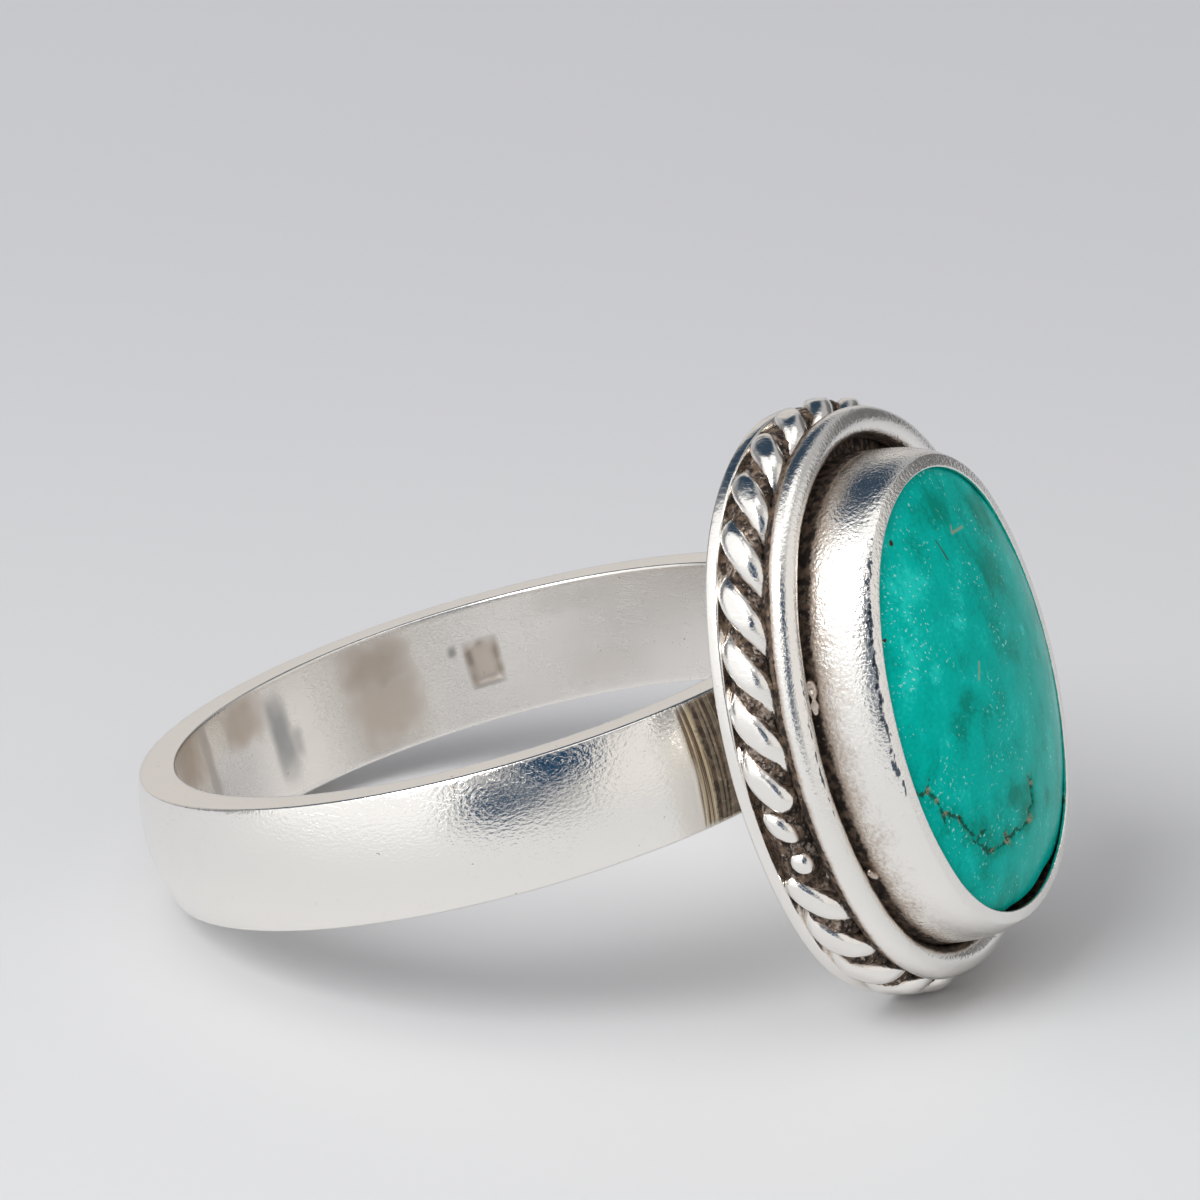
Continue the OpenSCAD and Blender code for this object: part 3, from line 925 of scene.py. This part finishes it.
def math_node(tree, operation, a, b=0.0):
    return add(tree, "ShaderNodeMath", {0: a, 1: b}, operation=operation).outputs[0]


def times(tree, a, b):
    return math_node(tree, "MULTIPLY", a, b)


def weighted(tree, *parts):
    """The sum of values, each given with its weight."""
    total = None
    for value, weight in parts:
        part = value if weight == 1 else times(tree, value, weight)
        total = part if total is None else math_node(tree, "ADD", total, part)
    return total


def attribute(tree, name):
    return add(tree, "ShaderNodeAttribute", attribute_name=name).outputs["Fac"]


def placed_group(tree, name, inputs):
    """Puts one of the shared effects into a material, with its own values."""
    return add(tree, "ShaderNodeGroup", inputs, node_tree=bpy.data.node_groups[name]).outputs


def mix_colour(tree, factor, a, b):
    """A mix of two colours, each a value or a link. The node has sockets for other kinds too."""
    made = add(tree, "ShaderNodeMix", data_type="RGBA")
    for label, value in (("Factor", factor), ("A", a), ("B", b)):
        socket = next(s for s in made.inputs if s.name == label and s.enabled)
        if isinstance(value, bpy.types.NodeSocket):
            tree.links.new(value, socket)
        else:
            socket.default_value = value if label == "Factor" else (*value, 1.0)
    return next(s for s in made.outputs if s.enabled)


def laid_over(tree, now, *layers):
    """Lays colours over a colour in turn, each given as its mask, its most and its tone."""
    for mask, most, tone in layers:
        shown = mask if most == 1 else times(tree, mask, most)
        now = mix_colour(tree, shown, now, tone)
    return now


def feed(tree, inputs, values):
    """Links values that change over the surface to a node's inputs."""
    for label, value in values.items():
        tree.links.new(value, inputs[label])


def mapped(tree, vector, scale, rotation=(0.0, 0.0, 0.0)):
    """Stretches a pattern's vector, and then turns it."""
    return add(tree, "ShaderNodeMapping", {"Vector": vector, "Rotation": rotation,
                                           "Scale": scale}).outputs[0]


def noise_at(tree, vector, per_mm, detail=2.0, distortion=0.0):
    """Noise whose bumps come per_mm to a millimetre."""
    return add(tree, "ShaderNodeTexNoise", {"Vector": vector, "Scale": per_mm / MM,
                                            "Detail": detail, "Distortion": distortion}
               ).outputs["Fac"]


def patches(tree, vector, per_mm, detail, low, high):
    """Soft patches where such noise goes from low to high."""
    return value_range(tree, noise_at(tree, vector, per_mm, detail), low, high)


def build_scratches():
    """Long hair scratches in three directions, as thin lines."""
    tree, given, made = new_group("hair scratches", ("Vector",), {"Width": 0.012}, ("Mask",))
    total = 0.0
    for k, tilt in enumerate(((0.3, 0.9, 0.2), (1.2, -0.5, 1.0), (-0.7, 0.2, 2.0))):
        lines = noise_at(tree, mapped(tree, given["Vector"], (0.35, 4.0, 4.0), tilt), 1.0, 1.0, 0.4)
        off = math_node(tree, "ABSOLUTE", math_node(tree, "SUBTRACT", lines, 0.5))
        hair = math_node(tree, "LESS_THAN", off, given["Width"])
        here = patches(tree, given["Vector"], 0.5 + 0.2 * k, 2.0, 0.5, 0.62)
        total = math_node(tree, "MAXIMUM", total, times(tree, hair, here))
    tree.links.new(total, made["Mask"])


def build_hand_polish():
    """The height of a hand-polished surface: soft waves, orange peel and hair scratches."""
    tree, given, made = new_group("hand polish", ("Vector", "Grain"),
                                  {"Waves": 1.2, "Peel": 0.8, "Scratches": 0.5},
                                  ("Height", "Mask"))
    waves = noise_at(tree, given["Vector"], 0.45, 1.0)
    peel = noise_at(tree, given["Grain"], 6.0, 3.0)
    mask = placed_group(tree, "hair scratches", {"Vector": given["Vector"]})["Mask"]
    mask = times(tree, mask, given["Scratches"])
    height = weighted(tree, (waves, given["Waves"]), (peel, given["Peel"]), (mask, -0.12))
    feed(tree, made, {"Height": height, "Mask": mask})


def build_tarnish():
    """Where tarnish and grime lie: in the recesses, with a broken edge, a brown film round them,
    and specks of beige residue in them."""
    tree, given, made = new_group("recess tarnish", ("Vector",),
                                  {"Recess": 0.0, "Spread": 0.5, "Specks": 0.5},
                                  ("Dark", "Grime"))
    blotch = noise_at(tree, given["Vector"], 1.6, 2.0)
    fine = noise_at(tree, given["Vector"], 10.0, 3.0)
    edge = weighted(tree, (blotch, 0.45), (fine, 0.55), (-0.5, 1))
    level = math_node(tree, "ADD", given["Recess"], times(tree, edge, given["Spread"]))
    dark = value_range(tree, level, 0.40, 0.62)
    film = value_range(tree, level, 0.05, 0.46)
    speck = patches(tree, given["Vector"], 7.0, 3.0, 0.57, 0.68)
    here = patches(tree, given["Vector"], 1.1, 2.0, 0.38, 0.60)
    speck = times(tree, times(tree, speck, here), given["Specks"])
    clear = math_node(tree, "SUBTRACT", 1.0, speck)
    feed(tree, made, {"Dark": times(tree, dark, clear), "Grime": times(tree, film, 0.8)})


def build_file_marks():
    """Straight marks that a file left, across the way that the first number of the vector runs."""
    tree, given, made = new_group("file marks", ("Vector",), {}, ("Height", "Mask"))
    drawn_out = mapped(tree, given["Vector"], (12.0, 0.08, 1.0), (0.0, 0.0, 0.05))
    lines = noise_at(tree, drawn_out, 1.0, 3.0)
    feed(tree, made, {"Height": lines, "Mask": value_range(tree, lines, 0.44, 0.54)})


def shader(name):
    """A new material's tree and its Principled shader."""
    material = bpy.data.materials.new(name)
    material.use_nodes = True
    return material.node_tree, material.node_tree.nodes["Principled BSDF"]


def object_coords(tree):
    return tree.nodes.new("ShaderNodeTexCoord").outputs["Object"]


# The recess mark read here also holds painted shade in places: inside the bezel, along the stone on the
# camera's side, and in the crevice under the plate.
def tarnished(tree, finish, coords, recess, spread, specks, clean):
    """A clean colour with tarnish and grime over it, and where both lie."""
    tarnish = placed_group(tree, "recess tarnish", {"Vector": coords, "Recess": recess,
                                                    "Spread": spread, "Specks": specks})
    now = mix_colour(tree, tarnish["Grime"], clean, finish.grime)
    uneven = patches(tree, coords, 4.5, 3.0, 0.40, 0.66)
    deep = mix_colour(tree, uneven, finish.tarnish, finish.crust)
    return mix_colour(tree, tarnish["Dark"], now, deep), tarnish


def set_bump(tree, principled, height, depth_mm):
    dent = add(tree, "ShaderNodeBump", {"Height": height, "Strength": 1.0,
                                        "Distance": depth_mm * MM})
    tree.links.new(dent.outputs["Normal"], principled.inputs["Normal"])


def silver_material(scene, name, rough=0.10, peel=0.8, grain=1.0, spread=0.5, specks=0.4):
    """Polished silver with hand-made unevenness, scratches, and tarnish where the piece marks it."""
    finish = scene.ring_finish
    tree, principled = shader(name)
    coords = object_coords(tree)
    fine = mapped(tree, coords, (grain, grain, grain))
    polish = placed_group(tree, "hand polish", {
        "Vector": coords, "Grain": fine, "Waves": 1.2, "Peel": peel, "Scratches": finish.scratches})
    # Painted reflection: the blue-black line, broken by flecks, laid over the clean silver where the
    # piece marks it.
    flecks = noise_at(tree, mapped(tree, coords, (1.0, 1.0, 0.35)), 8.0, 5.0)
    broken = weighted(tree, (attribute(tree, "painted_reflection"), 1), (flecks, 3.2), (-1.6, 1))
    painted_reflection = times(tree, value_range(tree, broken, 0.80, 1.15), 0.9)
    clean = mix_colour(tree, painted_reflection, finish.silver, finish.painted_reflection)
    now, tarnish = tarnished(tree, finish, coords, attribute(tree, "recess"), spread, specks, clean)
    dark = tarnish["Dark"]
    cloud = patches(tree, coords, 0.8, 3.0, 0.35, 0.75)
    roughness = weighted(tree, (rough, 1), (cloud, 0.07), (polish["Mask"], 0.15), (dark, 0.55),
                         (tarnish["Grime"], 0.25))
    metallic = weighted(tree, (1.0, 1), (dark, -0.97))
    feed(tree, principled.inputs, {"Base Color": now, "Roughness": roughness, "Metallic": metallic})
    crust = times(tree, dark, noise_at(tree, coords, 5.0, 2.0))
    calm = times(tree, polish["Height"], weighted(tree, (1.0, 1), (dark, -0.7)))
    set_bump(tree, principled, weighted(tree, (calm, 1), (crust, 2.4)), 0.012)


def band_material(scene):
    """The band's silver: grain along it, stains inside, and file marks and tarnish at the solder."""
    finish = scene.ring_finish
    tree, principled = shader("band_silver")
    coords = object_coords(tree)
    along = add(tree, "ShaderNodeUVMap", uv_map="along").outputs["UV"]
    grain = mapped(tree, along, (1.4, 2.3, 1.0))
    polish = placed_group(tree, "hand polish", {
        "Vector": coords, "Grain": grain, "Waves": 1.0, "Peel": 1.15, "Scratches": finish.scratches})
    inner, brown, grey, filed = (attribute(tree, name) for name in ("inside", "brown", "grey", "filed"))
    files = placed_group(tree, "file marks", {"Vector": along})
    cloud = noise_at(tree, coords, 0.8, 4.0)
    patchy = value_range(tree, cloud, 0.2, 0.7, 0.75, 1.0)
    pits = patches(tree, along, 5.0, 2.0, 0.735, 0.77)
    now = laid_over(tree, finish.silver, (inner, 1, finish.worn), (brown, patchy, finish.brown),
                    (grey, patchy, finish.grey), (pits, 0.75, finish.brown))
    now, tarnish = tarnished(tree, finish, coords, attribute(tree, "recess"), 0.7, 0.3, now)
    dark = tarnish["Dark"]
    golden = mix_colour(tree, files["Mask"], finish.crust, finish.filings)
    lined = times(tree, filed, weighted(tree, (0.95, 1), (dark, -0.70)))
    now = mix_colour(tree, lined, now, golden)
    roughness = weighted(tree, (0.055, 1), (value_range(tree, cloud, 0.35, 0.75), 0.05),
                         (polish["Mask"], 0.15), (filed, 0.22), (dark, 0.4), (inner, 0.17),
                         (brown, 0.25), (grey, 0.2))
    metallic = weighted(tree, (1.0, 1), (dark, -0.85))
    feed(tree, principled.inputs, {"Base Color": now, "Roughness": roughness, "Metallic": metallic})
    marks = times(tree, filed, files["Height"])
    rest = weighted(tree, (1.0, 1), (inner, -0.75), (attribute(tree, "side"), -0.6))
    calm = times(tree, polish["Height"], rest)
    set_bump(tree, principled, weighted(tree, (calm, 1), (marks, 3.0), (pits, -0.8)), 0.012)


def solder_material(scene):
    """The filed, oxidised solder between the band and the plate."""
    finish = scene.ring_finish
    tree, principled = shader("solder_silver")
    coords = object_coords(tree)
    files = placed_group(tree, "file marks", {"Vector": coords})
    clean = mix_colour(tree, files["Mask"], finish.crust, finish.filings)
    now, tarnish = tarnished(tree, finish, coords, attribute(tree, "recess"), 0.9, 0.5, clean)
    roughness = value_range(tree, files["Mask"], 0.0, 1.0, 0.45, 0.6)
    metallic = weighted(tree, (0.9, 1), (tarnish["Dark"], -0.8))
    feed(tree, principled.inputs, {"Base Color": now, "Roughness": roughness, "Metallic": metallic})
    set_bump(tree, principled, files["Height"], 0.03)


def turquoise_material(scene):
    """Mottled turquoise with pale and deep patches, white specks, scratches and a dark vein."""
    finish = scene.ring_finish
    tree, principled = shader("polished_turquoise")
    plan = add(tree, "ShaderNodeUVMap", uv_map="plan").outputs["UV"]
    marks = {name: attribute(tree, name) for name in STONE_MARKS}
    broad = noise_at(tree, plan, 0.5, 3.0, 0.5)
    mid = noise_at(tree, mapped(tree, plan, (0.55, 1.0, 1.0)), 1.7, 4.0, 0.4)
    fine = noise_at(tree, plan, 8.0, 3.0)
    tone = weighted(tree, (broad, 0.36), (mid, 0.38), (fine, 0.26), (marks["deep"], 0.12),
                    (marks["pale"], -0.10))
    cluster = weighted(tree, (noise_at(tree, plan, 0.8, 2.0), 1), (marks["pale"], 0.3))
    speck = times(tree, patches(tree, plan, 9.0, 3.0, 0.61, 0.67),
                  value_range(tree, cluster, 0.46, 0.64))
    ragged = weighted(tree, (marks["vein"], 1), (fine, 2.6), (-1.35, 1))
    vein = value_range(tree, ragged, 0.45, 0.95)
    lump = noise_at(tree, plan, 7.0, 3.0)
    nugget, rust = (times(tree, marks["gold"], value_range(tree, lump, low, high))
                    for low, high in ((0.44, 0.52), (0.50, 0.42)))
    # The stain mark is brown dirt where the stone meets the lip and brown spots on its edge, with
    # painted shade on the stone's side and along the lip on the camera's side.
    stain = value_range(tree, weighted(tree, (marks["stain"], 1), (fine, 0.9), (-0.45, 1)),
                        0.40, 0.80)
    now = laid_over(tree, finish.turquoise,
                    (value_range(tree, tone, 0.46, 0.70), 1, finish.turquoise_deep),
                    (value_range(tree, tone, 0.47, 0.34), 1, finish.turquoise_pale),
                    (speck, 0.85, finish.chalk),
                    (vein, 0.9, finish.matrix),
                    (rust, 0.8, finish.rim_stain_and_shade),
                    (nugget, 1, finish.matrix_gold),
                    (stain, 1, finish.rim_stain_and_shade),
                    (marks["pale_scratch"], 0.7, finish.matrix_gold),
                    (marks["dark_scratch"], 0.9, finish.rim_stain_and_shade))
    roughness = weighted(tree, (0.20, 1), (mid, 0.12), (vein, 0.25))
    feed(tree, principled.inputs, {"Base Color": now, "Roughness": roughness})
    principled.inputs["IOR"].default_value = 1.28
    principled.inputs["Specular IOR Level"].default_value = 0.20
    principled.inputs["Specular Tint"].default_value = (*finish.gloss, 1.0)
    set_bump(tree, principled, weighted(tree, (mid, 0.6), (vein, -0.5), (speck, -0.3)), 0.010)


def floor_material(scene):
    """Matt pale card with painted shade: it darkens softly towards the back, away from the camera, in
    place of the main light's falloff.
    """
    stage = scene.ring_stage
    tree, principled = shader("floor_card")
    away = -towards(stage.azimuth, 0.0)
    along = add(tree, "ShaderNodeVectorMath", {0: object_coords(tree), 1: away},
                operation="DOT_PRODUCT").outputs["Value"]
    # Painted shade: darker card towards the back, standing in for the main light's falloff.
    fade = value_range(tree, along, -35 * MM, 65 * MM)
    now = mix_colour(tree, fade, stage.floor, stage.floor_back_shaded)
    tree.links.new(now, principled.inputs["Base Color"])
    principled.inputs["Roughness"].default_value = 0.9
    principled.inputs["Specular IOR Level"].default_value = 0.2


def make_materials(scene):
    build_scratches()
    build_hand_polish()
    build_tarnish()
    build_file_marks()
    band_material(scene)
    silver_material(scene, "plate_silver", rough=0.12)
    silver_material(scene, "wire_silver", peel=1.3, grain=1.7, spread=0.6)
    silver_material(scene, "twist_silver", rough=0.11, grain=1.3, specks=0.9)
    silver_material(scene, "fill_silver", rough=0.35, grain=1.7, spread=1.2, specks=1.0)
    silver_material(scene, "bezel_silver", rough=0.12, peel=1.8, grain=1.7, spread=0.75, specks=0.3)
    solder_material(scene)
    turquoise_material(scene)


def make_stage(scene):
    stage = scene.ring_stage
    floor_material(scene)
    bm = bmesh.new()
    bmesh.ops.create_circle(bm, cap_ends=True, radius=stage.floor_r, segments=96)
    mesh = bpy.data.meshes.new("table")
    bm.to_mesh(mesh)
    bm.free()
    table = bpy.data.objects.new("table", mesh)
    mesh.materials.append(bpy.data.materials["floor_card"])
    scene.collection.objects.link(table)
    light_room(scene)
    light_softbox(scene)
    place_camera(scene)
    scene.view_settings.view_transform = "Standard"


# The light round the ring: azimuth, elevation, where each patch is full and where it ends, and colour.
LIGHT_TENT = {
    "ceiling": (60.0, 80.0, 14.0, 26.0, (1.2, 1.2, 1.2)),
    "right wall": (92.0, 12.0, 32.0, 46.0, (0.82, 0.80, 0.78)),
    "left wall": (-92.0, 12.0, 12.0, 28.0, (0.25, 0.25, 0.26)),
    "front wall": (-24.0, 6.0, 28.0, 42.0, (1.0, 1.0, 1.0)),
    "lamp glow": (-52.0, 42.0, 22.0, 36.0, (1.05, 1.05, 1.05)),
    "room": (-132.0, 48.0, 18.0, 36.0, (0.03, 0.055, 0.09)),
    "back left": (-146.0, 4.0, 12.0, 22.0, (0.66, 0.63, 0.60)),
    "back wall": (164.0, 6.0, 18.0, 32.0, (0.15, 0.15, 0.15)),
    "opening high": (37.0, 31.0, 13.0, 16.0, (0.02, 0.06, 0.12)),
    "opening low": (25.0, 13.0, 10.0, 13.0, (0.02, 0.06, 0.12)),
}


def light_room(scene):
    """A pale light tent with grey stretches, and the dark opening for the camera."""
    world = bpy.data.worlds.new("light tent")
    world.use_nodes = True
    scene.world = world
    tree = world.node_tree
    direction = tree.nodes.new("ShaderNodeTexCoord").outputs["Generated"]
    uneven = add(tree, "ShaderNodeTexNoise", {"Vector": direction, "Scale": 4.0, "Detail": 1.0})
    shake = add(tree, "ShaderNodeVectorMath", {0: uneven.outputs["Color"], 1: (0.5, 0.5, 0.5)},
                operation="SUBTRACT").outputs["Vector"]
    looking = add(tree, "ShaderNodeVectorMath", {0: shake, 1: (0.1, 0.1, 0.1), 2: direction},
                  operation="MULTIPLY_ADD").outputs["Vector"]
    now = scene.ring_stage.tent
    for azimuth, elevation, full, end, tone in LIGHT_TENT.values():
        patch = towards(math.radians(azimuth), math.radians(elevation))
        facing = add(tree, "ShaderNodeVectorMath", {0: looking, 1: patch},
                     operation="DOT_PRODUCT").outputs["Value"]
        inside = value_range(tree, facing, math.cos(math.radians(end)), math.cos(math.radians(full)))
        now = mix_colour(tree, inside, now, tone)
    tree.links.new(now, tree.nodes["Background"].inputs["Color"])


def light_softbox(scene):
    """The one main light, a round softbox high up to the left of the camera."""
    stage = scene.ring_stage
    data = bpy.data.lights.new("softbox", "AREA")
    data.shape = "DISK"
    data.size = stage.softbox_w
    data.energy = stage.softbox
    lamp = bpy.data.objects.new("softbox", data)
    away = towards(stage.softbox_azimuth, stage.softbox_elevation)
    lamp.location = away * stage.softbox_away
    lamp.rotation_euler = away.to_track_quat("Z", "Y").to_euler()
    scene.collection.objects.link(lamp)


def place_camera(scene):
    """The photograph's view, by a long lens, with the ring left and below the middle."""
    stage = scene.ring_stage
    back = towards(stage.azimuth, stage.elevation)
    right = Vector((math.cos(stage.azimuth), math.sin(stage.azimuth), 0.0))
    up = back.cross(right)
    place = BORE_CENTRE + back * stage.distance
    aim = BORE_CENTRE + right * stage.aim_right + up * stage.aim_up
    data = bpy.data.cameras.new("view")
    data.lens = stage.lens
    data.sensor_width = 36.0
    data.clip_start, data.clip_end = 0.001, 10.0
    camera = bpy.data.objects.new("view", data)
    camera.location = place
    camera.rotation_euler = (place - aim).to_track_quat("Z", "Y").to_euler()
    scene.collection.objects.link(camera)
    scene.camera = camera


class RING_OT_finishes(bpy.types.Operator):
    """Make the silver, solder and turquoise materials"""
    bl_idname = "ring.finishes"
    bl_label = "Finishes"

    def execute(self, context):
        make_materials(context.scene)
        return {"FINISHED"}


class RING_OT_band(bpy.types.Operator):
    """Make the band that goes round the finger"""
    bl_idname = "ring.band"
    bl_label = "Band"

    def execute(self, context):
        make_band(context.scene)
        return {"FINISHED"}


class RING_OT_solder_joint(bpy.types.Operator):
    """Make the solder that joins the band to the back plate"""
    bl_idname = "ring.solder_joint"
    bl_label = "Solder Joint"

    def execute(self, context):
        make_solder_joint(context.scene)
        return {"FINISHED"}


class RING_OT_back_plate(bpy.types.Operator):
    """Make the thin oval plate behind the setting"""
    bl_idname = "ring.back_plate"
    bl_label = "Back Plate"

    def execute(self, context):
        make_back_plate(context.scene)
        return {"FINISHED"}


class RING_OT_twisted_border(bpy.types.Operator):
    """Make the two twisted wires and the joint where their ends meet"""
    bl_idname = "ring.twisted_border"
    bl_label = "Twisted Border"

    def execute(self, context):
        make_twist_strand(context.scene, "twist_strand_first", 0.0)
        make_twist_strand(context.scene, "twist_strand_second", math.pi)
        make_twist_fill(context.scene)
        make_twist_joint(context.scene)
        return {"FINISHED"}


class RING_OT_plain_border(bpy.types.Operator):
    """Make the plain wire beside the bezel, and the solder under it"""
    bl_idname = "ring.plain_border"
    bl_label = "Plain Border"

    def execute(self, context):
        make_plain_border(context.scene)
        make_solder_seam(context.scene)
        make_solder_crumbs(context.scene)
        return {"FINISHED"}


class RING_OT_bezel(bpy.types.Operator):
    """Make the wall and lip that hold the stone"""
    bl_idname = "ring.bezel"
    bl_label = "Bezel"

    def execute(self, context):
        make_bezel(context.scene)
        return {"FINISHED"}


class RING_OT_stone(bpy.types.Operator):
    """Make the turquoise cabochon with its matrix vein"""
    bl_idname = "ring.stone"
    bl_label = "Stone"

    def execute(self, context):
        make_stone(context.scene)
        return {"FINISHED"}


class RING_OT_stage(bpy.types.Operator):
    """Make the table, the light tent and the camera"""
    bl_idname = "ring.stage"
    bl_label = "Stage"

    def execute(self, context):
        make_stage(context.scene)
        return {"FINISHED"}


OPERATORS = (RING_OT_stage, RING_OT_finishes, RING_OT_band, RING_OT_solder_joint,
             RING_OT_back_plate, RING_OT_twisted_border, RING_OT_plain_border, RING_OT_bezel,
             RING_OT_stone)
SIZES = {"ring_band": BandSizes, "ring_head": HeadSizes, "ring_wires": WireSizes,
         "ring_stone": StoneSizes, "ring_finish": Finish, "ring_stage": StageLook}


class RING_PT_panel(bpy.types.Panel):
    """The ring's sizes and the buttons that make its pieces"""
    bl_label = "Gemstone Ring"
    bl_idname = "RING_PT_panel"
    bl_space_type = "VIEW_3D"
    bl_region_type = "UI"
    bl_category = "Ring"

    def draw(self, context):
        column = self.layout.column()
        for made in OPERATORS:
            column.operator(made.bl_idname)
        for attribute, kind in SIZES.items():
            column.label(text=kind.__doc__)
            for field in kind.__annotations__:
                column.prop(getattr(context.scene, attribute), field)


def register():
    noise.seed_set(NOISE_SEED)
    for made in (*SIZES.values(), *OPERATORS, RING_PT_panel):
        bpy.utils.register_class(made)
    for attribute, kind in SIZES.items():
        setattr(bpy.types.Scene, attribute, PointerProperty(type=kind))


def unregister():
    for attribute in SIZES:
        delattr(bpy.types.Scene, attribute)
    for made in reversed((*SIZES.values(), *OPERATORS, RING_PT_panel)):
        bpy.utils.unregister_class(made)


def main():
    register()
    for made in OPERATORS:
        make = getattr(bpy.ops.ring, made.bl_idname.split(".")[1])
        if make() != {"FINISHED"}:
            raise RuntimeError(f"{made.bl_label} did not finish")


if __name__ == "__main__":
    main()
